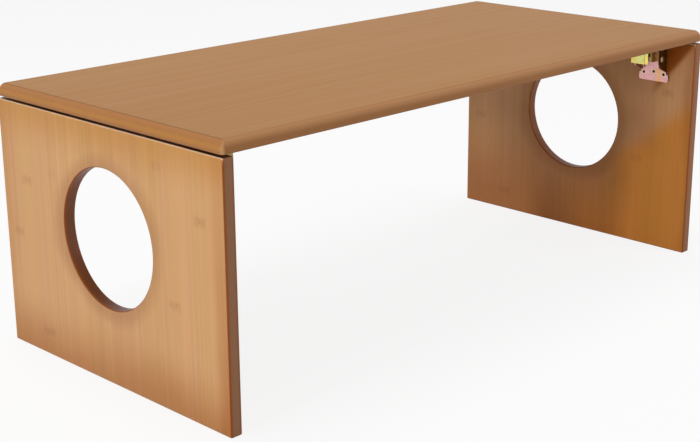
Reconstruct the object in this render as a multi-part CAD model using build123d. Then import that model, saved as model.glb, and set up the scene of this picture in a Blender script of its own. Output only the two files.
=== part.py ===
from build123d import *
import math
import os

# A low folding table: a board top and two board legs with a round window, each leg
# on two self-locking steel hinges.  Millimetres, +Z up, the front edge towards -Y.
# The origin is on the floor under the middle of the top, with both legs open.

# ---------------------------------------------------------------- driving dimensions
table_length = 850.0
table_depth = 400.0

top_thickness = 15.0
top_corner_radius = 5.0
top_arc_height = 10.0      # the upper edge is one arc, this high ...
top_arc_inset = 6.0        # ... and this far in where it meets the flat top
top_lower_round = 2.0

leg_height = 297.5
leg_thickness = 15.0
leg_edge_round = 1.8
leg_gap = 2.5              # between a leg's upper edge and the top
window_radius = 80.0
window_height = 170.0      # centre above the floor

hinge_inset = 62.5         # hinge middle from the front or back edge of the top
sheet = 2.0                # bracket steel
side_gap = 0.3             # between parts that slide flat on each other
pivot_in = 12.5            # leg pivot from the leg's inner face
pivot_drop = 26.5          # leg pivot below the top
hinge_width = 40.5         # over the leg bracket's cheeks
bend_radius = 3.5          # outer radius of a bracket's bends

leg_plate_tail = 34.0      # leg plate below the pivot
leg_plate_width = 47.0     # the plate's lower end, wider than the channel over it
leg_plate_corner = 3.5
leg_ear_height = 11.0      # of that wide lower end
leg_ear_round = 3.0
cheek_round = 12.0
cheek_root_drop = 20.0     # lower end of a leg cheek's root, below the pivot
cheek_toe_rise = 9.5       # slanted toe edge, from the root to the line of the free edge
stop_tongue_width = 26.0
stop_gap = 0.3             # between the leg plate's upper edge and the top bracket

rivet_radius = 3.0
rivet_clearance = 0.05
rivet_head_radius = 5.0
rivet_head_height = 1.6
lobe_wall = 4.5            # top bracket's metal around the leg pivot
top_cheek_drop = 28.0      # top bracket's cheek below the top
top_cheek_end = 36.5       # inner end of that cheek, from the leg's inner face
top_cheek_corner = 5.0
top_plate_width = 36.0
top_plate_length = 74.0

lock_pin_radius = 2.5
lock_pin_overhang = 0.5    # past the leg bracket's cheeks
lock_radius = 13.5         # lock pin's centre from the leg pivot when locked
lock_bite = 2.3            # height of the notch's wall above the locked pin's centre
lock_play = 0.25           # around the pin in its notch
cam_clearance = 0.5        # released pin above the cam
slot_play = 0.4            # around the pin in the top bracket's slot

lever_sheet = 1.5
lever_width = 27.0         # over its two sides
lever_pivot_in = 32.5
lever_pivot_drop = 10.4
lever_top_drop = 5.0       # lever's upper edge below the top
lever_boss = 4.5           # half the height of the arm around the lock pin
lever_waist_drop = 18.5    # arm's lower edge beside the lever's pivot
lever_web_in = 41.5        # outer face of the finger web
lever_web_drop = 31.0
lever_bend_radius = 4.0
lever_pin_radius = 2.0
lever_pin_head_radius = 3.5
lever_pin_head_height = 1.2
pin_play = 0.03            # around a pin that is held tight

spring_wire_radius = 0.6
spring_play = 0.7          # between the coil and the pin inside it
spring_turns = 6
spring_turn_gap = 0.35     # between neighbouring turns
spring_rest_in = 25.0      # where the upper leg presses on the top bracket
spring_push_drop = 21.0    # where the lower leg presses on the finger web
spring_seat_gap = 0.1

screw_radius = 1.8
screw_length = 12.0
screw_head_radius = 3.5
screw_head_height = 1.9
screw_point = 3.0
screw_tip_radius = 0.36
screw_recess_length = 4.0
screw_recess_width = 0.9
screw_recess_depth = 1.3
pilot_play = 0.05
pilot_spare = 0.5
leg_screw_spread = 16.0    # outer screws of the leg plate from its middle
leg_screw_drop = 23.5      # outer screws below the pivot
leg_screw_stagger = 2.5    # middle screw above the outer ones
top_screw_spread = 10.5
top_screw_outer_in = 6.5   # from the leg's inner face
top_screw_inner_in = 64.0

# ---------------------------------------------------------------- derived sizes
under_top = leg_height + leg_gap
height = under_top + top_thickness
half_width = hinge_width / 2
leg_cheek_inner = half_width - sheet
top_cheek_outer = leg_cheek_inner - side_gap
lever_outer = lever_width / 2
cam_radius = lock_radius + lock_bite
notch_radius = lock_pin_radius + lock_play
cheek_flat = lock_radius - lock_pin_radius - 2 * lock_play    # flat under the pin when folded
released_rise = cam_radius + lock_pin_radius + cam_clearance
lobe_radius = rivet_radius + lobe_wall
pivot_z = -pivot_drop
lever_z = -lever_pivot_drop
lever_rise_locked = pivot_z + lock_radius - lever_z
lever_rise_released = pivot_z + released_rise - lever_z
lever_arm = math.hypot(lever_pivot_in - pivot_in, lever_rise_locked)
released_x = lever_pivot_in - math.sqrt(lever_arm ** 2 - lever_rise_released ** 2)
released_z = pivot_z + released_rise
locked_z = pivot_z + lock_radius
lock_angle = math.degrees(
    math.asin(lever_rise_released / lever_arm) - math.asin(lever_rise_locked / lever_arm)
)
ENDS = {"front": -1, "back": 1}
SIDES = ("left", "right")


# ---------------------------------------------------------------- helpers
def block(x, y, z):
    """A box from three (low, high) pairs."""
    low, high = zip(x, y, z)
    size = [b - a for a, b in zip(low, high)]
    return Pos(*[(a + b) / 2 for a, b in zip(low, high)]) * Box(*size)


def cut_from_side(outline, half):
    """Extrudes an outline drawn in X and Z to both sides of the hinge's middle."""
    return extrude(Plane.XZ * outline, amount=half, both=True)


def disc(x, z, radius):
    return Pos(x, z) * Circle(radius)


def bar_across(x, z, radius, half):
    """A round bar along Y."""
    return Pos(x, 0, z) * Rot(90, 0, 0) * Cylinder(radius, 2 * half)


def headed_pin(x, z, radius, grip, head_radius, head_height):
    """A pin along Y with a domed head outside each end of its grip."""
    pin = bar_across(x, z, radius, grip)
    dome_radius = (head_radius ** 2 + head_height ** 2) / (2 * head_height)
    dome = Sphere(dome_radius) & Pos(0, 0, dome_radius) * Box(
        2 * head_radius, 2 * head_radius, 2 * head_height
    )
    head = Pos(0, 0, head_height - dome_radius) * dome
    for turn in (-90, 90):
        outward = 1 if turn < 0 else -1
        pin += Pos(x, outward * grip, z) * Rot(turn, 0, 0) * head
    return pin


def station(side, end):
    """Where a hinge sits: X runs inwards from the leg's inner face, Z down from the top."""
    y = ENDS[end] * (table_depth / 2 - hinge_inset)
    face = table_length / 2 - leg_thickness
    if side == "left":
        return Pos(-face, y, under_top)
    return Pos(face, y, under_top) * Rot(0, 0, 180)


# ---------------------------------------------------------------- boards
def top_edge_profile(span):
    """Half-round section of the top, across one pair of edges."""
    half = span / 2
    angle = 2 * math.atan2(top_arc_inset, top_arc_height)
    radius = top_arc_height / math.sin(angle)
    arc_start = top_thickness - top_arc_height
    middle_in = radius * (1 - math.cos(angle / 2))
    middle_up = radius * math.sin(angle / 2)
    side_line = Line((half, top_lower_round), (half, arc_start))
    upper_arc = ThreePointArc(
        (half, arc_start),
        (half - middle_in, arc_start + middle_up),
        (half - top_arc_inset, top_thickness),
    )
    roof = Line((half - top_arc_inset, top_thickness), (0, top_thickness))
    middle = Line((0, top_thickness), (0, 0))
    floor = Line((0, 0), (half - top_lower_round, 0))
    lower_arc = RadiusArc(
        (half - top_lower_round, 0), (half, top_lower_round), -top_lower_round
    )
    section = make_face(Curve() + [side_line, upper_arc, roof, middle, floor, lower_arc])
    return section + mirror(section, about=Plane.YZ)


def top_board():
    plan = RectangleRounded(table_length, table_depth, top_corner_radius)
    board = extrude(plan, amount=top_thickness)
    along = extrude(Plane.YZ * top_edge_profile(table_depth), amount=table_length, both=True)
    across = extrude(Plane.XZ * top_edge_profile(table_length), amount=table_depth, both=True)
    board = Pos(0, 0, under_top) * (board & along & across)
    for side in SIDES:
        for end in ENDS:
            board -= station(side, end) * top_pilot_holes()
    return board


def leg_panel(side):
    centre_x = table_length / 2 - leg_thickness / 2
    panel = Pos(0, 0, leg_height / 2) * Box(leg_thickness, table_depth, leg_height)
    window = Pos(0, 0, window_height) * Rot(0, 90, 0) * Cylinder(window_radius, 2 * leg_thickness)
    panel = fillet((panel - window).edges(), leg_edge_round)
    panel = Pos(-centre_x if side == "left" else centre_x, 0, 0) * panel
    for end in ENDS:
        panel -= station(side, end) * leg_pilot_holes()
    return panel


# ---------------------------------------------------------------- screws
def screw():
    """A countersunk wood screw, its head's flat at Z 0 and its point up."""
    shank_end = screw_length - screw_point
    body = Pos(0, 0, screw_head_height / 2) * Cone(
        screw_head_radius, screw_radius, screw_head_height
    )
    body += Pos(0, 0, shank_end / 2) * Cylinder(screw_radius, shank_end)
    body += Pos(0, 0, shank_end + screw_point / 2) * Cone(
        screw_radius, screw_tip_radius, screw_point
    )
    arm = Box(screw_recess_length, screw_recess_width, 2 * screw_recess_depth)
    return body - arm - Rot(0, 0, 90) * arm


def screw_room():
    """The hole that a screw needs through a plate and into the wood."""
    reach = screw_length + pilot_spare
    room = Pos(0, 0, reach / 2) * Cylinder(screw_radius + pilot_play, reach)
    sink = screw_head_height + pilot_play
    return room + Pos(0, 0, sink / 2) * Cone(
        screw_head_radius + pilot_play, screw_radius + pilot_play, sink
    )


def leg_screw_places():
    outer_z = pivot_z - leg_screw_drop
    spots = [
        (-leg_screw_spread, outer_z),
        (0, outer_z + leg_screw_stagger),
        (leg_screw_spread, outer_z),
    ]
    return [Pos(sheet, y, z) * Rot(0, -90, 0) for y, z in spots]


def top_screw_places():
    return [
        Pos(x, y, -sheet)
        for x in (top_screw_outer_in, top_screw_inner_in)
        for y in (-top_screw_spread, top_screw_spread)
    ]


def leg_pilot_holes():
    return Compound([place * screw_room() for place in leg_screw_places()])


def top_pilot_holes():
    return Compound([place * screw_room() for place in top_screw_places()])


def leg_screws():
    return Compound([place * screw() for place in leg_screw_places()])


def top_screws():
    return Compound([place * screw() for place in top_screw_places()])


# ---------------------------------------------------------------- hinge, leg side
def leg_cheek_outline():
    """Side of a leg cheek: the cam over the pivot, a flat edge and a slanted, rounded toe."""
    reach = pivot_in + cheek_flat
    cam_corner_up = math.sqrt(cam_radius ** 2 - cheek_flat ** 2)
    half_turn = math.atan2(cam_corner_up, cheek_flat) / 2 + math.pi / 4
    root_z = pivot_z - cheek_root_drop
    toe_z = root_z + cheek_toe_rise
    outline = Curve() + [
        Line((0, pivot_z + cam_radius), (pivot_in, pivot_z + cam_radius)),
        ThreePointArc(
            (pivot_in, pivot_z + cam_radius),
            (pivot_in + cam_radius * math.cos(half_turn), pivot_z + cam_radius * math.sin(half_turn)),
            (reach, pivot_z + cam_corner_up),
        ),
        Line((reach, pivot_z + cam_corner_up), (reach, toe_z)),
        Line((reach, toe_z), (sheet, root_z)),
        Line((sheet, root_z), (0, root_z)),
        Line((0, root_z), (0, pivot_z + cam_radius)),
    ]
    side = make_face(outline)
    side = fillet(side.vertices().sort_by_distance((reach, toe_z, 0))[0], cheek_round)
    notch_top = pivot_z + cam_radius + notch_radius
    side -= disc(pivot_in, locked_z, notch_radius)
    side -= Pos(pivot_in, (locked_z + notch_top) / 2) * Rectangle(
        2 * notch_radius, notch_top - locked_z
    )
    return side - disc(pivot_in, pivot_z, rivet_radius + rivet_clearance)


def bent_channel(reach, half, wall, radius, tall):
    """A channel on end: its web on the YZ plane, its two sides running along +X."""
    outer = Pos(reach, 0) * Rectangle(2 * reach, 2 * half)
    inner = Pos(wall + reach, 0) * Rectangle(2 * reach, 2 * (half - wall))
    outer = fillet(outer.vertices().group_by(Axis.X)[0], radius)
    inner = fillet(inner.vertices().group_by(Axis.X)[0], radius - wall)
    return extrude(outer - inner, amount=tall, both=True)


def leg_bracket():
    reach = pivot_in + cheek_flat
    channel = bent_channel(2 * reach, half_width, sheet, bend_radius, 2 * pivot_drop)
    bracket = channel & cut_from_side(leg_cheek_outline(), hinge_width)
    plate_end = pivot_z - leg_plate_tail
    ear = leg_plate_width / 2
    tail = block((0, sheet), (-ear, ear), (plate_end, plate_end + leg_ear_height))
    tail = fillet(tail.edges().filter_by(Axis.X).group_by(Axis.Z)[-1], leg_ear_round)
    tail = fillet(tail.edges().filter_by(Axis.X).group_by(Axis.Z)[0], leg_plate_corner)
    neck_z = (plate_end + leg_ear_height / 2, pivot_z - cheek_root_drop)
    tail += block((0, sheet), (-half_width, half_width), neck_z)
    tongue_half = stop_tongue_width / 2
    tongue_z = (pivot_z, -sheet - stop_gap)
    tongue = block((0, sheet), (-tongue_half, tongue_half), tongue_z)
    bracket = bracket + tail + tongue
    return bracket - leg_pilot_holes()


# ---------------------------------------------------------------- hinge, top side
def top_cheek_outline():
    start = pivot_in - lobe_radius
    side = Pos((start + top_cheek_end) / 2, -top_cheek_drop / 2) * Rectangle(
        top_cheek_end - start, top_cheek_drop
    )
    low_corner = side.vertices().sort_by(Axis.Y)[:2].sort_by(Axis.X)[-1]
    side = fillet(low_corner, top_cheek_corner)
    side += disc(pivot_in, pivot_z, lobe_radius)
    slot_radius = lock_pin_radius + slot_play
    side -= disc(pivot_in, released_z, slot_radius)
    side -= disc(pivot_in, locked_z, slot_radius)
    side -= Pos(pivot_in, (released_z + locked_z) / 2) * Rectangle(
        2 * slot_radius, released_z - locked_z
    )
    side -= disc(pivot_in, pivot_z, rivet_radius + pin_play)
    return side - disc(lever_pivot_in, lever_z, lever_pin_radius + pin_play)


def top_bracket():
    length = 2 * top_cheek_end
    upright = bent_channel(2 * top_cheek_drop, top_cheek_outer, sheet, bend_radius, length)
    channel = Rot(0, 90, 0) * upright
    bracket = channel & cut_from_side(top_cheek_outline(), top_cheek_outer + sheet)
    plate_half = top_plate_width / 2
    plate = block((0, top_plate_length), (-plate_half, plate_half), (-sheet, 0))
    far_corners = plate.edges().filter_by(Axis.Z).group_by(Axis.X)[-1]
    plate = fillet(far_corners, top_cheek_corner)
    return bracket + plate - top_pilot_holes()


def pivot_rivet():
    grip = half_width + side_gap / 2
    return headed_pin(
        pivot_in, pivot_z, rivet_radius, grip, rivet_head_radius, rivet_head_height
    )


# ---------------------------------------------------------------- latch
def lever_outline():
    """Side of the lever with the finger web upright, which is its released place."""
    boss_start = released_x - lever_boss
    waist = lever_pivot_in - lever_boss
    wing = lever_web_in - lever_bend_radius - lever_sheet
    side = make_face(
        Polyline(
            (released_x, released_z + lever_boss),
            (lever_pivot_in, -lever_top_drop),
            (lever_web_in, -lever_top_drop),
            (lever_web_in, -lever_web_drop),
            (wing, -lever_web_drop),
            (lever_pivot_in + lever_boss, -lever_waist_drop),
            (waist, -lever_waist_drop),
            (released_x, released_z - lever_boss),
            (boss_start, released_z),
            close=True,
        )
    )
    side += disc(released_x, released_z, lever_boss)
    side -= disc(released_x, released_z, lock_pin_radius + pin_play)
    return side - disc(lever_pivot_in, lever_z, lever_pin_radius + rivet_clearance)


def latch_lever():
    upright = bent_channel(
        lever_web_in, lever_outer, lever_sheet, lever_bend_radius, 2 * lever_web_drop
    )
    channel = Pos(lever_web_in, 0, 0) * Rot(0, 0, 180) * upright
    return channel & cut_from_side(lever_outline(), lever_outer + lever_sheet)


def latch_pivot_pin():
    return headed_pin(
        lever_pivot_in,
        lever_z,
        lever_pin_radius,
        top_cheek_outer + pin_play,
        lever_pin_head_radius,
        lever_pin_head_height,
    )


def lock_pin():
    half = half_width + lock_pin_overhang
    pin = bar_across(released_x, released_z, lock_pin_radius, half)
    return chamfer(pin.edges().filter_by(GeomType.CIRCLE), lock_pin_overhang)


def tangent_angle(x, z, radius, turn):
    """Where a straight leg to (x, z) leaves a coil round the origin, in degrees."""
    away = math.hypot(x, z)
    return math.degrees(math.atan2(z, x) + turn * math.acos(radius / away))


def latch_spring():
    """A torsion spring on the lever's pivot: it pushes the web away from the leg."""
    radius = lever_pin_radius + spring_play + spring_wire_radius
    pitch = 2 * spring_wire_radius + spring_turn_gap
    seat = spring_wire_radius + spring_seat_gap
    push_x = lever_web_in - lever_sheet - seat
    rest_z = -sheet - seat
    first = tangent_angle(push_x - lever_pivot_in, lever_pivot_drop - spring_push_drop, radius, 1)
    last = tangent_angle(spring_rest_in - lever_pivot_in, rest_z - lever_z, radius, -1)
    turns = spring_turns + (last - first) / 360
    half = turns * pitch / 2
    lay = Pos(lever_pivot_in, half, lever_z) * Rot(90, 0, 0) * Rot(0, 0, first)
    coil = lay * Helix(pitch, 2 * half, radius)
    push_leg = Line((push_x, half, -spring_push_drop), coil @ 0)
    rest_leg = Line(coil @ 1, (spring_rest_in, -half, rest_z))
    section = Plane(origin=push_leg @ 0, z_dir=push_leg % 0) * Circle(spring_wire_radius)
    path = Wire([push_leg, coil, rest_leg])
    return sweep(section, path=path, is_frenet=True)


# ---------------------------------------------------------------- assembly
HINGE_PIECES = {
    "top_bracket": top_bracket,
    "top_screws": top_screws,
    "leg_bracket": leg_bracket,
    "leg_screws": leg_screws,
    "pivot_rivet": pivot_rivet,
    "latch_lever": latch_lever,
    "latch_pivot_pin": latch_pivot_pin,
    "lock_pin": lock_pin,
    "latch_spring": latch_spring,
}


def assembly():
    """Every node of the table, by name, where it sits with both legs open."""
    nodes = {"top_board": top_board()}
    for side in SIDES:
        nodes[side + "_leg_panel"] = leg_panel(side)
    for name, make in HINGE_PIECES.items():
        piece = make()
        for side in SIDES:
            for end in ENDS:
                nodes[f"{side}_{end}_{name}"] = station(side, end) * piece
    return nodes


if __name__ == "__main__":
    os.makedirs("parts", exist_ok=True)
    for name, shape in assembly().items():
        export_step(shape, f"parts/{name}.step")
    print("height", height)
    print("leg pivot", table_length / 2 - leg_thickness - pivot_in, under_top + pivot_z)
    print("lever pivot", table_length / 2 - leg_thickness - lever_pivot_in, under_top + lever_z)
    print("hinge middle", table_depth / 2 - hinge_inset, "lock angle", round(lock_angle, 3))
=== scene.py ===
import math

import bpy
from mathutils import Matrix, Vector


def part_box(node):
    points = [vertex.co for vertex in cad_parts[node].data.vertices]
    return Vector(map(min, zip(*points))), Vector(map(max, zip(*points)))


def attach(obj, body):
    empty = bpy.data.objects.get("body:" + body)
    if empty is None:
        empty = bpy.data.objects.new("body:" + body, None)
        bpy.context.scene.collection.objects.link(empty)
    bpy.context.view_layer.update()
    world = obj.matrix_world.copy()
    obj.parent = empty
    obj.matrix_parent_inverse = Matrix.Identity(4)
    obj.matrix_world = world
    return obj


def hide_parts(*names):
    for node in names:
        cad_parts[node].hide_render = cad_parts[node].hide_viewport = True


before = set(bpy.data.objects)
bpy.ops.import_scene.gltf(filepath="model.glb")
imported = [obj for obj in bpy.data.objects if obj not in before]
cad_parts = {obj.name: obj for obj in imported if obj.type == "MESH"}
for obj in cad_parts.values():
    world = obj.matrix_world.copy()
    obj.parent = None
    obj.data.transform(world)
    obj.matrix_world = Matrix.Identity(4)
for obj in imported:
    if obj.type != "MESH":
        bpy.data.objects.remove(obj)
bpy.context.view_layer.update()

MM = 0.001
SIDES = ("left", "right")
ENDS = ("front", "back")

# ---------------------------------------------------------------- sizes, in metres
top_low, top_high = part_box("top_board")
leg_low, leg_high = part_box("left_leg_panel")
plate_low, plate_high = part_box("right_front_leg_bracket")
leg_screw_low, leg_screw_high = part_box("right_front_leg_screws")
top_screw_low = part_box("right_front_top_screws")[0]
HALF_LENGTH = top_high.x
HALF_DEPTH = top_high.y
TOP_THICKNESS = top_high.z - top_low.z
LEG_TOP = leg_high.z
LEG_THICKNESS = leg_high.x - leg_low.x
LEG_MIDDLE = -(leg_low.x + leg_high.x) / 2
HINGE_MIDDLE = -(plate_low.y + plate_high.y) / 2

TOP_CORNER = 5.0 * MM              # plan radius of the top's corners
TOP_CREST_CORNER = 1.2 * MM        # the same corner at the edge of the flat
ARC_HEIGHT = 10.0 * MM
ARC_INSET = 6.0 * MM
ARC_ANGLE = 2 * math.atan2(ARC_INSET, ARC_HEIGHT)
LOWER_ROUND = 2.0 * MM
LEG_ROUND = 1.8 * MM
LEG_CREST_CORNER = 0.2 * MM        # plan radius of a leg's corners on its flats
WINDOW_RADIUS = 80.0 * MM
WINDOW_HEIGHT = 170.0 * MM
FLAT_MARGIN = 0.4 * MM             # a narrow strip that keeps the flats' shading flat

CORNER_STEPS = 8
ARC_STEPS = 10
ROUND_STEPS = 5
WINDOW_STEPS = 128
SPOKE_CLEARANCE = 3.0 * MM         # no spoke ends this near a corner of the leg


# ---------------------------------------------------------------- meshes
def add_object(name, data):
    made = bpy.data.objects.new(name, data)
    bpy.context.scene.collection.objects.link(made)
    return made


def mesh_piece(name, points, faces):
    """A smooth-shaded object with its points in the row frame."""
    mesh = bpy.data.meshes.new(name)
    mesh.from_pydata(points, [], faces)
    mesh.shade_smooth()
    mesh.validate()
    return add_object(name, mesh)


def ring_faces(first, second, count):
    """Quads between two loops of as many points, given by their first points."""
    return [
        (first + i, first + (i + 1) % count, second + (i + 1) % count, second + i)
        for i in range(count)
    ]


def quarter_round(radius):
    """(inset, height) pairs over a rounded edge, from its lower face to its side."""
    angles = [math.radians(90 * step / ROUND_STEPS) for step in range(ROUND_STEPS + 1)]
    return [(radius * (1 - math.sin(a)), radius * (1 - math.cos(a))) for a in angles]


def corner_loop(half_x, half_y, radius, steps):
    """A rectangle with round corners, counterclockwise, in four runs of points."""
    runs = []
    for quarter, (sign_x, sign_y) in enumerate(((1, 1), (-1, 1), (-1, -1), (1, -1))):
        run = []
        for step in range(steps + 1):
            angle = math.radians(90 * (quarter + step / steps))
            x = sign_x * (half_x - radius) + radius * math.cos(angle)
            run.append((x, sign_y * (half_y - radius) + radius * math.sin(angle)))
        runs.append(run)
    return runs


def top_profile():
    """(inset, height) pairs over the top's edge, from its underside to its flat."""
    pairs = [(LOWER_ROUND + FLAT_MARGIN, 0.0)] + quarter_round(LOWER_ROUND)
    radius = ARC_HEIGHT / math.sin(ARC_ANGLE)
    start = TOP_THICKNESS - ARC_HEIGHT
    for step in range(ARC_STEPS + 1):
        angle = ARC_ANGLE * step / ARC_STEPS
        pairs.append((radius * (1 - math.cos(angle)), start + radius * math.sin(angle)))
    pairs.append((ARC_INSET + FLAT_MARGIN, TOP_THICKNESS))
    return pairs


def lacquered_top():
    """The table top: one board, its upper edge an arc that runs round the corners."""
    points, faces, starts = [], [], []
    count = 4 * (CORNER_STEPS + 1)
    for inset, height in top_profile():
        share = min(inset / ARC_INSET, 1.0)
        radius = TOP_CORNER + share * (TOP_CREST_CORNER - TOP_CORNER)
        starts.append(len(points))
        for run in corner_loop(HALF_LENGTH - inset, HALF_DEPTH - inset, radius, CORNER_STEPS):
            points += [(x, y, top_low.z + height) for x, y in run]
    for first, second in zip(starts, starts[1:]):
        faces += ring_faces(first, second, count)
    faces.append(tuple(reversed(range(starts[0], starts[0] + count))))
    faces.append(tuple(range(starts[-1], starts[-1] + count)))
    return mesh_piece("lacquered_top", points, faces)


def spoke_stops():
    """Where even spokes from the window's centre meet the leg's four sides, from its middle."""
    stops = [[], [], [], []]
    centre = WINDOW_HEIGHT - LEG_TOP / 2
    for step in range(WINDOW_STEPS):
        angle = 2 * math.pi * step / WINDOW_STEPS - math.pi / 2
        across, up = math.cos(angle), math.sin(angle)
        rise = LEG_TOP / 2 - centre if up > 0 else LEG_TOP / 2 + centre
        if HALF_DEPTH * abs(up) > rise * abs(across):
            quarter, stop, end = (0 if up > 0 else 2), rise * across / abs(up), HALF_DEPTH
        else:
            quarter, end = (1 if across < 0 else 3), LEG_TOP / 2
            stop = centre + HALF_DEPTH * up / abs(across)
        if abs(stop) < end - SPOKE_CLEARANCE:
            stops[quarter].append(stop)
    return [sorted(side, reverse=quarter < 2) for quarter, side in enumerate(stops)]


def leg_outline(inset, stops):
    """The leg's outline moved inwards, as (y, z): round corners, and the stops between them."""
    radius = max(LEG_ROUND - inset, LEG_CREST_CORNER)
    points = []
    runs = corner_loop(HALF_DEPTH - inset, LEG_TOP / 2 - inset, radius, ROUND_STEPS)
    for quarter, (run, side) in enumerate(zip(runs, stops)):
        points += run
        across, up = run[-1]
        points += [(stop, up) if quarter % 2 == 0 else (across, stop) for stop in side]
    return [(y, z + LEG_TOP / 2) for y, z in points]


def window_outline(radius, outline):
    """A circle with a point under each point of the leg's outline."""
    angles = [math.atan2(z - WINDOW_HEIGHT, y) for y, z in outline]
    return [(radius * math.cos(a), WINDOW_HEIGHT + radius * math.sin(a)) for a in angles]


def leg_loops():
    """Loops round the leg's section: (outline, depth from the outer face)."""
    arc = quarter_round(LEG_ROUND)
    margin = LEG_ROUND + FLAT_MARGIN
    to_inner = [(margin, 0.0)] + arc
    to_inner += [(inset, LEG_THICKNESS - depth) for inset, depth in reversed(arc)]
    to_inner += [(margin, LEG_THICKNESS)]
    stops = spoke_stops()
    outer = leg_outline(0.0, stops)
    loops = [(leg_outline(inset, stops), depth) for inset, depth in to_inner]
    for inset, depth in reversed(to_inner):
        loops.append((window_outline(WINDOW_RADIUS + inset, outer), depth))
    return loops


def lacquered_leg(side):
    """A leg: a board with a round window and all its edges rounded."""
    sign = -1 if side == "left" else 1
    points, faces, starts = [], [], []
    for outline, depth in leg_loops():
        starts.append(len(points))
        points += [(sign * (HALF_LENGTH - depth), y, z) for y, z in outline]
    count = starts[1]
    for first, second in zip(starts, starts[1:] + starts[:1]):
        ring = ring_faces(first, second, count)
        faces += ring if side == "left" else [face[::-1] for face in ring]
    return mesh_piece(side + "_lacquered_leg", points, faces)


# ---------------------------------------------------------------- shading helpers
def colour(red, green, blue):
    """Display values from 0 to 255 as linear colour."""
    def linear(value):
        value /= 255
        return value / 12.92 if value <= 0.04045 else ((value + 0.055) / 1.055) ** 2.4
    return (linear(red), linear(green), linear(blue), 1.0)


WHITE = colour(255, 255, 255)


class Nodes:
    """A node tree, built by nested calls that return sockets."""

    def __init__(self, tree):
        self.tree = tree
        self.tree.nodes.clear()

    def node(self, kind, inputs, output=0, **settings):
        made = self.tree.nodes.new("ShaderNode" + kind)
        for key, value in settings.items():
            setattr(made, key, value)
        for key, value in inputs.items():
            if isinstance(value, bpy.types.NodeSocket):
                self.tree.links.new(value, made.inputs[key])
            else:
                made.inputs[key].default_value = value
        return made.outputs[output] if made.outputs else None

    def op(self, operation, *values):
        return self.node("Math", dict(enumerate(values)), operation=operation)

    def times(self, first, *others):
        for other in others:
            first = self.op("MULTIPLY", first, other)
        return first

    def size(self, value):
        """A value without its sign."""
        return self.op("ABSOLUTE", value)

    def off(self, value, place):
        """How far a value is from a place, either way."""
        return self.size(self.op("SUBTRACT", value, place))

    def fade(self, value, low, high, start=0.0, end=1.0):
        """Goes smoothly from start to end while the value goes from low to high."""
        inputs = {"Value": value, "From Min": low, "From Max": high, "To Min": start, "To Max": end}
        return self.node("MapRange", inputs, interpolation_type="SMOOTHSTEP")

    def grows(self, value, low, high, share=1.0):
        """Nothing up to low, and the whole share from high on."""
        return self.fade(value, low, high, 0.0, share)

    def falls(self, value, low, high, share=1.0):
        """The whole share up to low, and nothing from high on."""
        return self.fade(value, low, high, share, 0.0)

    def any_of(self, *shares):
        """How much at least one of several shares covers."""
        left = self.op("SUBTRACT", 1.0, shares[0])
        for share in shares[1:]:
            left = self.times(left, self.op("SUBTRACT", 1.0, share))
        return self.op("SUBTRACT", 1.0, left)

    def mix(self, factor, first, second, blend="MIX"):
        """A colour between two, by the mix node's colour sockets: 6 and 7 in, and 2 out."""
        return self.node(
            "Mix", {0: factor, 6: first, 7: second}, output=2, data_type="RGBA", blend_type=blend
        )

    def vector(self, x, y, z):
        return self.node("CombineXYZ", {"X": x, "Y": y, "Z": z})

    def parts(self, vector):
        """A vector's X, Y and Z."""
        return [self.node("SeparateXYZ", {"Vector": vector}, output=axis) for axis in "XYZ"]

    def noise(self, vector, scale=1.0, detail=2.0):
        return self.node("TexNoise", {"Vector": vector, "Scale": scale, "Detail": detail})

    def swing(self, vector, scale=1.0, detail=1.0):
        """Noise round 0."""
        return self.op("SUBTRACT", self.noise(vector, scale, detail), 0.5)

    def seen_itself(self):
        """1 where a surface is seen, mirrored or through glass, and 0 where it lights others."""
        camera_ray, glossy_ray, transmission_ray = (
            self.node("LightPath", {}, output=f"Is {kind} Ray")
            for kind in ("Camera", "Glossy", "Transmission")
        )
        return self.op("MAXIMUM", camera_ray, self.op("MAXIMUM", glossy_ray, transmission_ray))


class Shader(Nodes):
    """A material's nodes."""

    def __init__(self, name):
        self.material = bpy.data.materials.new(name)
        self.material.use_nodes = True
        super().__init__(self.material.node_tree)

    def where(self):
        """The place in the row frame, in metres."""
        return self.node("TexCoord", {}, output="Object")

    def place(self):
        """X, Y and Z in the row frame."""
        return self.parts(self.where())

    def facing(self):
        """X, Y and Z of the surface's direction, before any joint turns it."""
        return self.parts(self.node("TexCoord", {}, output="Normal"))

    def finish(self, inputs):
        surface = self.node("BsdfPrincipled", inputs)
        self.node("OutputMaterial", {"Surface": surface})
        return self.material


# ---------------------------------------------------------------- bamboo
STRIP_WIDTH = 24.0 * MM            # of the strips that a board is glued up from
STRIP_UNEVENNESS = 0.4
JOINT_HALF = 0.03                  # of a glue line, in strip widths
HUE_RANGE = 0.14                   # swing of the hue noise from one tint to the other
FIBRE_RANGE = 0.3
RELIEF = 0.04 * MM
KNUCKLE_SPACING = 260.0 * MM       # along one strip
KNUCKLE_MARGINS = (0.02, 0.16)     # knuckles fade out here beside a joint, in strip widths
KNUCKLE_SHIFT = 7.3                # most spacings that one strip's rows are off another's
KNUCKLE_WAVE = 3.0 * MM            # of a row, as it crosses its strip
KNUCKLE_WAVE_WIDTH = 7.0 * MM
KNUCKLE_CORE = 1.0 * MM            # half length of the darkest part of a knuckle
KNUCKLE_REACH = 8.0 * MM
KNUCKLE_SHARE = 0.28
KNUCKLE_LUCK = (0.45, 0.9)         # chance value of a row, from no knuckle to a full one
DASH_WIDTH = 1.6 * MM
DASH_LENGTH = 4.0 * MM
DASH_NOISE = (0.42, 0.60)          # noise value, from between dashes to on one
DASH_LEAST = 0.42                  # how dark a knuckle is between its dashes

KNUCKLE_BROWN = colour(138, 68, 32)
GOLDEN = (0.99, 1.005, 0.94, 1.0)  # tints that strips of a board drift between
ROSY = (1.01, 0.995, 1.03, 1.0)


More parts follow.
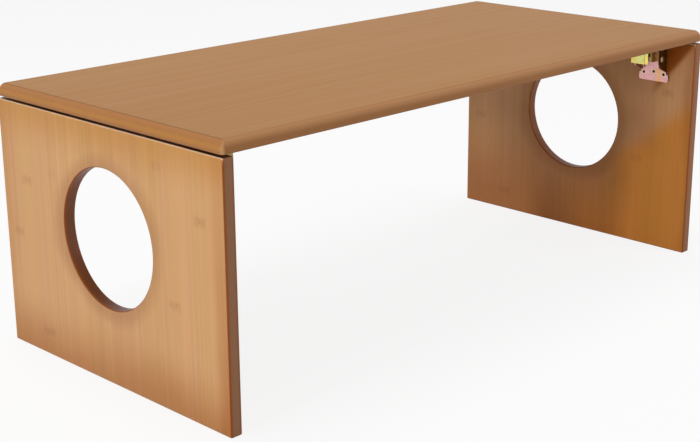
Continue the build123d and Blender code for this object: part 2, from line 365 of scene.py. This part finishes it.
class Grain:
    """Strips, fibres and knuckles of laminated bamboo, as values round 0 or up to 1."""

    def __init__(self, s, across, along, through):
        self.s, self.across, self.along, self.through = s, across, along, through
        self.fine = self.streaks(width=1.0 * MM, length=160 * MM, detail=2.0)
        self.fibre = self.streaks(width=3.2 * MM, length=400 * MM, detail=2.0)
        self.band = self.streaks(width=11 * MM, length=900 * MM, detail=1.0)
        self.hue = self.streaks(width=15 * MM, length=700 * MM, detail=1.0)

        cell = {"W": s.times(across, 1 / STRIP_WIDTH), "Scale": 1.0, "Randomness": STRIP_UNEVENNESS}
        random = s.node("TexVoronoi", cell, output="Color", voronoi_dimensions="1D")
        self.strip = s.op("SUBTRACT", s.node("SeparateColor", {"Color": random}), 0.5)
        self.phase = s.node("SeparateColor", {"Color": random}, output=1)
        rim = s.node("TexVoronoi", cell, voronoi_dimensions="1D", feature="DISTANCE_TO_EDGE")
        self.joint = s.falls(rim, 0.0, JOINT_HALF)
        self.inside = s.grows(rim, *KNUCKLE_MARGINS)
        self.knuckle = self.knuckles()

    def streaks(self, width, length, detail):
        s = self.s
        across, through = s.times(self.across, 1 / width), s.times(self.through, 1 / width)
        return s.swing(s.vector(across, through, s.times(self.along, 1 / length)), detail=detail)

    def knuckles(self):
        """Short dark dashes in wavy rows across a strip, stronger in some rows than in others."""
        s = self.s
        shift = s.times(self.phase, KNUCKLE_SHIFT)
        turn = s.op("MULTIPLY_ADD", self.along, 1 / KNUCKLE_SPACING, shift)
        away = s.times(s.op("SUBTRACT", s.op("FRACT", turn), 0.5), KNUCKLE_SPACING)
        row = s.vector(self.phase, s.op("FLOOR", turn), 0.0)
        luck = s.node("TexWhiteNoise", {"Vector": row}, noise_dimensions="2D")

        ripple = s.vector(s.times(self.across, 1 / KNUCKLE_WAVE_WIDTH), self.phase, 0.0)
        wavy = s.op("MULTIPLY_ADD", s.swing(ripple), 2 * KNUCKLE_WAVE, away)
        dash = s.vector(
            s.times(self.across, 1 / DASH_WIDTH), s.times(self.along, 1 / DASH_LENGTH), self.phase
        )
        dashes = s.fade(s.noise(dash, detail=1.0), *DASH_NOISE, start=DASH_LEAST)
        patch = s.falls(s.size(wavy), KNUCKLE_CORE, KNUCKLE_REACH)
        return s.times(patch, dashes, self.inside, s.grows(luck, *KNUCKLE_LUCK))


def lacquered(s, base, grain, depth, specular, roughness):
    """Bamboo under satin lacquer; depth is how strongly the grain shows."""
    value = 1.0
    for part, weight in (
        (grain.fine, 0.12),
        (grain.fibre, 0.17),
        (grain.band, 0.17),
        (grain.strip, 0.06),
        (grain.joint, -0.05),
    ):
        value = s.op("MULTIPLY_ADD", part, weight * depth, value)
    tint = s.mix(s.grows(grain.hue, -HUE_RANGE, HUE_RANGE), GOLDEN, ROSY)
    base = s.mix(depth, base, s.mix(1.0, base, tint, "MULTIPLY"))
    base = s.mix(s.times(grain.knuckle, KNUCKLE_SHARE * depth), base, KNUCKLE_BROWN)
    base = s.node("HueSaturation", {"Value": value, "Color": base})
    rough = s.fade(grain.fibre, -FIBRE_RANGE, FIBRE_RANGE, roughness + 0.05, roughness - 0.05)
    relief = s.op("MULTIPLY_ADD", grain.fine, 0.5, grain.fibre)
    bump = s.node("Bump", {"Strength": 0.10, "Distance": RELIEF, "Height": relief})
    return s.finish(
        {"Base Color": base, "Roughness": rough, "Normal": bump, "Specular IOR Level": specular}
    )


# ---------------------------------------------------------------- legs
HONEY = colour(205, 156, 106)      # outer face
HONEY_TOP = colour(188, 128, 52)
HONEY_STAIN = colour(160, 89, 12)
HONEY_RIM = colour(160, 106, 66)

TAN = colour(198, 148, 102)        # inner face
TAN_BELOW = colour(206, 134, 68)
TAN_BACK = colour(152, 98, 60)
TAN_TOP = colour(160, 106, 56)
TAN_FRONT = colour(146, 84, 26)
TAN_RIM = colour(156, 98, 50)
# gold zone: partly stain, partly painted light of the low lamp from the left, falling past the left
# leg and under the top
GOLD_STAIN_AND_KEY_LIGHT = colour(199, 129, 50)
# orange patch: painted light, standing in for light bounced from the floor
PAINTED_BOUNCE_LIGHT = colour(240, 158, 74)
# brown patch: painted shade, a soft penumbra of the lamp from the left
PAINTED_PENUMBRA = colour(140, 84, 44)
# amber wedge: painted shadow of the top's front edge behind the hinge
PAINTED_TOP_SHADOW = colour(148, 74, 2)

EDGE = colour(144, 100, 68)        # narrow faces, and the rounding beside them
EDGE_IN_WINDOW = colour(116, 68, 42)
EDGE_AMBER = colour(140, 74, 16)
END_GRAIN = colour(92, 53, 27)
ROUNDING_AMBER = colour(134, 62, 4)
# a painted highlight along the rounding of a leg's top edge
ROUNDING_CREST_HIGHLIGHT = colour(232, 196, 160)

CLOUD_REACH = 30.0 * MM            # how far a spray's border wanders, there and back
CLOUDS_ACROSS = 14.0               # clouds to a metre
CLOUDS_UP = 9.0
# the gold zone's borders are painted shadow edges: of the left leg's front edge and, slanting, of
# the top's front edge
GOLD_REACH = (95.0 * MM, 150.0 * MM)
GOLD_BEND = 120.0 * MM             # above this height the gold zone narrows, along a painted shadow edge of the top
GOLD_SLANT = 1.35
BOUNCE_LIGHT_MIDDLE = 140.0 * MM         # middle of the painted bounce light, from the front edge, as is the brown patch's
PENUMBRA_MIDDLE = 80.0 * MM
PENUMBRA_HEIGHT = 170.0 * MM
# the amber wedge's reach and slanting border: a painted shadow of the top's front edge
WEDGE_REACH = (45.0 * MM, 70.0 * MM)
WEDGE_BORDER = (-8.0 * MM, 6.0 * MM)
WEDGE_SLANT = 1.2

NARROW_TO_FLAT = (0.35, 0.85)      # the normal's X, from a narrow face to a flat
ROUNDING_START = (0.05, 0.45)      # the same, where the rounding's colour comes in ...
ROUNDING_END = (0.85, 0.995)       # ... and where it goes out


class LegMap:
    """Where a point is on a leg, in metres, and sprays from its edges: stain, and on the inner face
    also painted light.
    """

    def __init__(self, s):
        self.s = s
        self.x, self.y, self.z = s.place()
        self.from_front = s.op("ADD", self.y, HALF_DEPTH)
        self.from_back = s.op("SUBTRACT", HALF_DEPTH, self.y)
        self.from_top = s.op("SUBTRACT", LEG_TOP, self.z)
        rise = s.op("SUBTRACT", self.z, WINDOW_HEIGHT)
        away = s.op("ADD", s.times(self.y, self.y), s.times(rise, rise))
        self.from_window = s.op("SUBTRACT", s.op("SQRT", away), WINDOW_RADIUS)
        clouds = s.vector(s.times(self.y, CLOUDS_ACROSS), self.x, s.times(self.z, CLOUDS_UP))
        self.cloud = s.times(s.swing(clouds), CLOUD_REACH)
        self.rim = self.spray(self.from_window, reach=24 * MM, share=0.48)

    def spray(self, distance, reach, share):
        """Stain, and in one place painted bounce light, that thins out with the distance, with a
        cloudy border.
        """
        return self.s.falls(self.s.op("ADD", distance, self.cloud), 0.0, reach, share)


def leg_outer_face(s, leg):
    """Honey, with a darker stain along the edges and round the window."""
    stain = s.any_of(
        s.times(
            leg.spray(leg.from_front, reach=34 * MM, share=0.62),
            s.fade(leg.z, 0.0, LEG_TOP, 1.0, 0.4),
        ),
        leg.spray(leg.from_back, reach=36 * MM, share=0.26),
        leg.spray(leg.z, reach=80 * MM, share=0.60),
    )
    face = s.mix(leg.spray(leg.from_top, reach=56 * MM, share=0.68), HONEY, HONEY_TOP)
    face = s.mix(stain, face, HONEY_STAIN)
    return s.mix(leg.rim, face, HONEY_RIM)


def leg_inner_face(s, leg):
    """Tan, darker along the edges; at the front a gold zone that is partly stain and partly painted
    light from the left, a painted patch of bounce light, a painted penumbra, and an amber wedge of
    painted shadow under the top.
    """
    face = s.mix(leg.spray(leg.z, reach=150 * MM, share=0.85), TAN, TAN_BELOW)
    back = s.falls(leg.from_back, 20 * MM, 220 * MM, share=0.68)
    back = s.times(back, s.falls(leg.z, 20 * MM, 130 * MM))
    back = s.any_of(back, leg.spray(leg.from_back, reach=30 * MM, share=0.2))
    face = s.mix(back, face, TAN_BACK)

    # gold zone: partly stain, partly painted light from the left, ending at painted shadow edges
    over = s.op("MAXIMUM", s.op("SUBTRACT", leg.z, GOLD_BEND), 0.0)
    gold = s.op("ADD", s.op("MULTIPLY_ADD", over, GOLD_SLANT, leg.from_front), leg.cloud)
    face = s.mix(s.falls(gold, *GOLD_REACH, share=0.94), face, GOLD_STAIN_AND_KEY_LIGHT)
    # orange patch: painted bounce light from the floor, strongest low down
    orange = s.falls(s.off(leg.from_front, BOUNCE_LIGHT_MIDDLE), 20 * MM, 75 * MM, share=0.75)
    orange = s.times(orange, leg.spray(leg.z, reach=100 * MM, share=1.0))
    face = s.mix(orange, face, PAINTED_BOUNCE_LIGHT)
    # brown patch: painted shade where the lamp's light falls off in a penumbra
    brown = s.falls(s.off(leg.from_front, PENUMBRA_MIDDLE), 10 * MM, 40 * MM, share=0.30)
    brown = s.times(brown, s.falls(s.off(leg.z, PENUMBRA_HEIGHT), 10 * MM, 50 * MM))
    face = s.mix(brown, face, PAINTED_PENUMBRA)

    face = s.mix(leg.spray(leg.from_top, reach=110 * MM, share=0.32), face, TAN_TOP)
    # amber wedge: painted shadow cast by the top's front edge
    under = s.op("SUBTRACT", s.times(leg.from_front, WEDGE_SLANT), leg.from_top)
    wedge = s.grows(under, *WEDGE_BORDER)
    wedge = s.times(wedge, s.falls(leg.from_front, *WEDGE_REACH, share=0.95))
    face = s.mix(wedge, face, PAINTED_TOP_SHADOW)
    face = s.mix(leg.spray(leg.from_front, reach=16 * MM, share=0.4), face, TAN_FRONT)
    return s.mix(leg.rim, face, TAN_RIM)


def leg_edges(s, leg):
    """The narrow faces: brown, amber towards both flats and, as a painted warm reflection, more
    amber on the right leg; dark end grain on top.
    """
    edges = s.mix(s.grows(leg.from_window, 2 * MM, 4 * MM), EDGE_IN_WINDOW, EDGE)
    by_flats = s.grows(s.off(s.size(leg.x), LEG_MIDDLE), 3 * MM, 6.5 * MM, share=0.85)
    # more amber on the right leg: a painted warm reflection
    right_leg_painted_sheen = s.grows(leg.x, -100 * MM, 100 * MM, share=0.4)
    edges = s.mix(s.any_of(by_flats, right_leg_painted_sheen), edges, EDGE_AMBER)
    return s.mix(s.falls(leg.from_top, 0.0, 0.5 * MM, share=0.92), edges, END_GRAIN)


def leg_bamboo():
    """Honey lacquer with a darker stain sprayed towards the edges and round the window, painted
    light and shade on the inner face, a painted warm reflection on the right leg's narrow faces and
    a painted highlight along the top edge.
    """
    s = Shader("leg_bamboo")
    leg = LegMap(s)
    nx = s.facing()[0]
    outward = s.op("GREATER_THAN", s.times(nx, leg.x), 0.0)
    flats = s.mix(outward, leg_inner_face(s, leg), leg_outer_face(s, leg))
    flatness = s.size(nx)
    base = s.mix(s.falls(flatness, *NARROW_TO_FLAT), flats, leg_edges(s, leg))

    rounding = s.times(s.grows(flatness, *ROUNDING_START), s.falls(flatness, *ROUNDING_END))
    amber = s.times(rounding, s.grows(leg.from_top, 2 * MM, 8 * MM, share=0.9))
    # a pale line along the leg's top edge: painted highlight
    crest = s.times(rounding, s.falls(leg.from_top, 1.0 * MM, 2.2 * MM, share=0.8))
    base = s.mix(crest, s.mix(amber, base, ROUNDING_AMBER), ROUNDING_CREST_HIGHLIGHT)
    grain = Grain(s, across=leg.y, along=leg.z, through=leg.x)
    return lacquered(s, base, grain, depth=1.0, specular=0.22, roughness=0.42)


# ---------------------------------------------------------------- top
CARAMEL = colour(163, 113, 56)     # the flat, and its border
CARAMEL_BORDER = colour(150, 98, 46)
CREASE = colour(118, 68, 30)       # where the flat meets the arc
ARC_LOW = colour(158, 107, 64)     # the arc along the long edges
ARC_HIGH = colour(178, 128, 86)
ARC_END = colour(166, 113, 66)     # and along the short ones
ARC_END_BAND = colour(190, 132, 64)
# a painted reflection of the floor on the edge's lower rounding
ARC_FOOT_REFLECTION = colour(150, 104, 70)
# a painted glint on the corners' rounding
ARC_CORNER_GLINT = colour(206, 158, 108)
BAND_HEIGHT = 6.5 * MM
CREASE_LONG, CREASE_SHORT = 0.15, 0.60  # its strength along the long and the short edges
CORNER_TURN = (0.15, 0.45)         # product of the normal's X and Y, from edge to corner, where a painted glint comes in
ARC_TO_FLAT = (0.86, 0.97)         # the normal's Z


def top_bamboo():
    """Caramel lacquer, nearly even on the flat and darker over the edge, with a painted glint at
    the corners and a painted floor reflection along the foot of the edge.
    """
    s = Shader("top_bamboo")
    x, y, z = s.place()
    nx, ny, nz = s.facing()
    crest_x = s.op("SUBTRACT", HALF_LENGTH - ARC_INSET, s.size(x))
    crest_y = s.op("SUBTRACT", HALF_DEPTH - ARC_INSET, s.size(y))
    inside = s.op("MINIMUM", crest_x, crest_y)
    on_short_edge = s.op("GREATER_THAN", crest_y, crest_x)
    flat = s.mix(s.falls(inside, 0.0, 14 * MM, share=0.14), CARAMEL, CARAMEL_BORDER)

    height = s.op("SUBTRACT", z, top_low.z)
    arc = s.mix(s.grows(height, 6 * MM, 13 * MM), ARC_LOW, ARC_HIGH)
    arc = s.mix(on_short_edge, arc, ARC_END)
    band = s.falls(s.off(height, BAND_HEIGHT), 0.5 * MM, 4 * MM, share=0.5)
    arc = s.mix(s.times(band, on_short_edge), arc, ARC_END_BAND)
    # the lower rounding: a painted reflection of the floor
    arc = s.mix(s.falls(height, 0.5 * MM, 3 * MM, share=0.8), arc, ARC_FOOT_REFLECTION)
    # a painted glint where the edge turns round a corner
    turning = s.size(s.times(nx, ny))
    arc = s.mix(s.grows(turning, *CORNER_TURN, share=0.5), arc, ARC_CORNER_GLINT)

    base = s.mix(s.falls(nz, *ARC_TO_FLAT), flat, arc)
    crease = s.falls(s.size(inside), 0.3 * MM, 1.3 * MM)
    crease = s.times(crease, s.fade(on_short_edge, 0.0, 1.0, CREASE_LONG, CREASE_SHORT))
    base = s.mix(crease, base, CREASE)
    grain = Grain(s, across=y, along=x, through=z)
    return lacquered(s, base, grain, depth=0.24, specular=0.12, roughness=0.48)


# ---------------------------------------------------------------- metal
TINT_BAND_OUT = 9.0 * MM           # gold band on a leg plate, from the hinge's middle
TINT_BAND_HALF = 5.5 * MM
TINT_BAND_WANDER = 9.0 * MM
PLATE_TO_CHEEK = (0.35, 0.8)       # the normal's Y, from plate to cheek, where the painted shade of the cheeks comes in
RECESS_LIP = 0.15 * MM             # bright metal at the top of a screw's recess
RECESS_FADE = 0.2 * MM
SCREW_EYE = (1.7 * MM, 2.3 * MM)   # radii of a leg screw's dark middle, painted shade over the recess, and of its border
SCREW_RADIUS = 3.5 * MM
LEG_SCREW_SPREAD = (leg_screw_high.y - leg_screw_low.y) / 2 - SCREW_RADIUS
LEG_SCREW_HIGH = leg_screw_high.z - SCREW_RADIUS
LEG_SCREW_DROP = LEG_SCREW_HIGH - leg_screw_low.z - SCREW_RADIUS
GRIT_SCALE = 2600.0

ROSE, ROSE_SHADE = colour(248, 188, 196), colour(232, 178, 170)
ROSE_GOLD = colour(248, 188, 112)
# the cheeks' olive: painted shade and dark reflection on the sideways-facing faces
SHADED_OLIVE, SHADED_OLIVE_PALE = colour(86, 64, 25), colour(120, 90, 42)
# the top bracket's olive gold, darkened as painted shade
OLIVE_GOLD, OLIVE_GOLD_LIGHT = colour(150, 128, 66), colour(176, 150, 84)
OLIVE_GREEN = colour(138, 132, 78)
YELLOW, YELLOW_GOLD = colour(244, 226, 132), colour(240, 202, 104)
LIME = colour(226, 230, 142)
SCREW, SCREW_SHADE = colour(236, 208, 178), colour(214, 190, 150)
# painted shade in a screw's recess
RECESS_SHADE = colour(16, 8, 5)


def mottle(s, scale):
    """Soft clouds between 0 and 1, about as many to a metre as the scale says."""
    return s.grows(s.noise(s.where(), scale, detail=3.0), 0.35, 0.65)


def metal(s, tint, roughness, metallic=1.0, specular=0.5):
    """Plated steel: fine mottling in its gloss and a faint orange-peel relief."""
    grit = s.noise(s.where(), GRIT_SCALE)
    return s.finish(
        {
            "Base Color": tint,
            "Metallic": metallic,
            "Roughness": s.fade(grit, 0.3, 0.7, roughness - 0.05, roughness + 0.07),
            "Normal": s.node("Bump", {"Strength": 0.12, "Distance": 0.05 * MM, "Height": grit}),
            "Specular IOR Level": specular,
        }
    )


def rose_zinc():
    """Passivated leg bracket: rose with a gold band on the plate, olive on the cheeks as painted
    shade and dark reflection.
    """
    s = Shader("rose_zinc")
    out = s.op("SUBTRACT", s.size(s.place()[1]), HINGE_MIDDLE + TINT_BAND_OUT)
    out = s.op("MULTIPLY_ADD", s.swing(s.where(), scale=140.0), TINT_BAND_WANDER, out)
    gold = s.falls(s.size(out), 0.0, TINT_BAND_HALF, share=0.9)
    plate = s.mix(gold, s.mix(mottle(s, 420.0), ROSE, ROSE_SHADE), ROSE_GOLD)
    # cheeks: painted shade and dark reflection, by which way they face
    cheeks = s.mix(mottle(s, 900.0), SHADED_OLIVE, SHADED_OLIVE_PALE)
    sideways = s.grows(s.size(s.facing()[1]), *PLATE_TO_CHEEK)
    return metal(s, s.mix(sideways, plate, cheeks), roughness=0.34, metallic=0.85)


def gold_zinc():
    """Passivated top bracket: olive gold with a green cast, darkened as painted shade."""
    s = Shader("gold_zinc")
    tint = s.mix(mottle(s, 180.0), OLIVE_GOLD, OLIVE_GOLD_LIGHT)
    return metal(s, s.mix(mottle(s, 60.0), tint, OLIVE_GREEN), roughness=0.30)


def yellow_zinc():
    """Passivated lever: bright yellow that drifts to lime and gold."""
    s = Shader("yellow_zinc")
    tint = s.mix(mottle(s, 130.0), YELLOW, YELLOW_GOLD)
    return metal(s, s.mix(mottle(s, 75.0), tint, LIME), roughness=0.28)


def from_leg_screw(s, y, z):
    """Distance from the axis of the nearest leg screw: a high one and two outer, lower ones."""
    across = s.off(s.size(y), HINGE_MIDDLE)
    outer = s.op("GREATER_THAN", across, LEG_SCREW_SPREAD / 2)
    across = s.op("SUBTRACT", across, s.times(outer, LEG_SCREW_SPREAD))
    up = s.op("ADD", s.op("SUBTRACT", z, LEG_SCREW_HIGH), s.times(outer, LEG_SCREW_DROP))
    return s.op("SQRT", s.op("MULTIPLY_ADD", up, up, s.times(across, across)))


def screw_zinc(name, axis, heads):
    """Yellow screws with painted shade in the recess, which lies beyond the plane of the heads."""
    s = Shader(name)
    place = s.place()
    depth = s.op("SUBTRACT", s.size(place[axis]), heads + RECESS_LIP)
    dark = s.grows(depth, 0.0, RECESS_FADE, share=0.98)
    # leg screws: a painted dark eye of shade over the recess, wider than it
    if axis == 0:
        eye = s.falls(from_leg_screw(s, place[1], place[2]), *SCREW_EYE, share=0.95)
        dark = s.any_of(dark, eye)
    tint = s.mix(dark, s.mix(mottle(s, 700.0), SCREW, SCREW_SHADE), RECESS_SHADE)
    return metal(s, tint, roughness=0.32, metallic=s.falls(dark, 0.0, 1.0), specular=0.05)


def plain_steel(name, light, dark, roughness):
    s = Shader(name)
    return metal(s, s.mix(mottle(s, 500.0), light, dark), roughness)


# ---------------------------------------------------------------- dressing
leg_material = leg_bamboo()
table_top = lacquered_top()
table_top.data.materials.append(top_bamboo())
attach(table_top, "top")
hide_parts("top_board")

for side in SIDES:
    leg = lacquered_leg(side)
    leg.data.materials.append(leg_material)
    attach(leg, side + "_leg")
    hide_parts(side + "_leg_panel")

pin_steel = plain_steel("pin_steel", colour(206, 202, 192), colour(182, 178, 168), 0.25)
FINISHES = {
    "top_bracket": gold_zinc(),
    "leg_bracket": rose_zinc(),
    "latch_lever": yellow_zinc(),
    "top_screws": screw_zinc("top_screw_zinc", 2, top_screw_low.z),
    "leg_screws": screw_zinc("leg_screw_zinc", 0, leg_screw_low.x),
    "pivot_rivet": plain_steel("rivet_steel", colour(176, 150, 112), colour(150, 126, 88), 0.3),
    "latch_pivot_pin": pin_steel,
    "lock_pin": pin_steel,
    "latch_spring": plain_steel("spring_steel", colour(132, 132, 138), colour(104, 104, 110), 0.35),
}
for side in SIDES:
    for end in ENDS:
        for piece_name, material in FINISHES.items():
            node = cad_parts[f"{side}_{end}_{piece_name}"]
            node.data.materials.clear()
            node.data.materials.append(material)

# ---------------------------------------------------------------- stage
FLOOR_HALF = 6.0
FLOOR_COLOUR = (0.90, 0.90, 0.90, 1.0)
FLOOR_WHITE = 0.86                 # share of plain white that the camera sees in the floor
WORLD_FILL = 0.40                  # the world's strength as a light

SENSOR_WIDTH = 36.0
LENS = 74.73
CAMERA_PLACE = (-1.2955, -1.2498, 0.6549)
CAMERA_YAW = math.radians(44.84)
CAMERA_PITCH = math.radians(17.23)
CAMERA_ROLL = math.radians(-0.40)


def studio_floor():
    """A pale floor that takes shadows, and is mostly plain white where it is seen."""
    s = Shader("studio_floor")
    shaded = s.node("BsdfDiffuse", {"Color": FLOOR_COLOUR})
    white = s.node("Emission", {"Color": WHITE, "Strength": 1.0})
    share = s.times(s.seen_itself(), FLOOR_WHITE)
    seen = s.node("MixShader", {0: share, 1: shaded, 2: white})
    s.node("OutputMaterial", {"Surface": seen})
    signs = ((-1, -1), (1, -1), (1, 1), (-1, 1))
    corners = [(x * FLOOR_HALF, y * FLOOR_HALF, 0.0) for x, y in signs]
    floor = mesh_piece("studio_floor", corners, [(0, 1, 2, 3)])
    floor.data.materials.append(s.material)


def studio_world():
    """Even light on the object, and plain white where the world itself is seen."""
    world = bpy.data.worlds.new("studio_world")
    world.use_nodes = True
    bpy.context.scene.world = world
    s = Nodes(world.node_tree)
    strength = s.fade(s.seen_itself(), 0.0, 1.0, WORLD_FILL, 1.0)
    background = s.node("Background", {"Color": WHITE, "Strength": strength})
    s.node("OutputWorld", {"Surface": background})


def area_light(name, location, aim, width, height, power):
    light = bpy.data.lights.new(name, "AREA")
    light.shape = "RECTANGLE"
    light.size, light.size_y = width, height
    light.energy = power
    lamp = add_object(name, light)
    lamp.location = location
    away = Vector(location) - Vector(aim)
    lamp.rotation_euler = away.to_track_quat("Z", "Y").to_euler()


def camera():
    """Looks down on the table from its front left corner."""
    data = bpy.data.cameras.new("camera")
    data.sensor_width = SENSOR_WIDTH
    data.lens = LENS
    viewer = add_object("camera", data)
    yaw = Matrix.Rotation(-CAMERA_YAW, 4, "Z")
    pitch = Matrix.Rotation(math.pi / 2 - CAMERA_PITCH, 4, "X")
    roll = Matrix.Rotation(CAMERA_ROLL, 4, "Z")
    viewer.matrix_world = Matrix.Translation(CAMERA_PLACE) @ (yaw @ pitch) @ roll
    bpy.context.scene.camera = viewer


bpy.context.scene.view_settings.view_transform = "Standard"
studio_floor()
studio_world()
area_light(
    "left_softbox", location=(-3.0, -0.524, 0.7), aim=(0.0, 0.0, 0.2),
    width=0.12, height=0.4, power=25.8,
)
area_light(
    "right_softbox", location=(1.1, -1.3, 0.7), aim=(0.3, 0.0, 0.2),
    width=0.6, height=0.6, power=4.6,
)
area_light(
    "overhead_softbox", location=(-0.3, 0.3, 2.6), aim=(0.0, 0.0, 0.3),
    width=2.0, height=2.0, power=35.0,
)
camera()
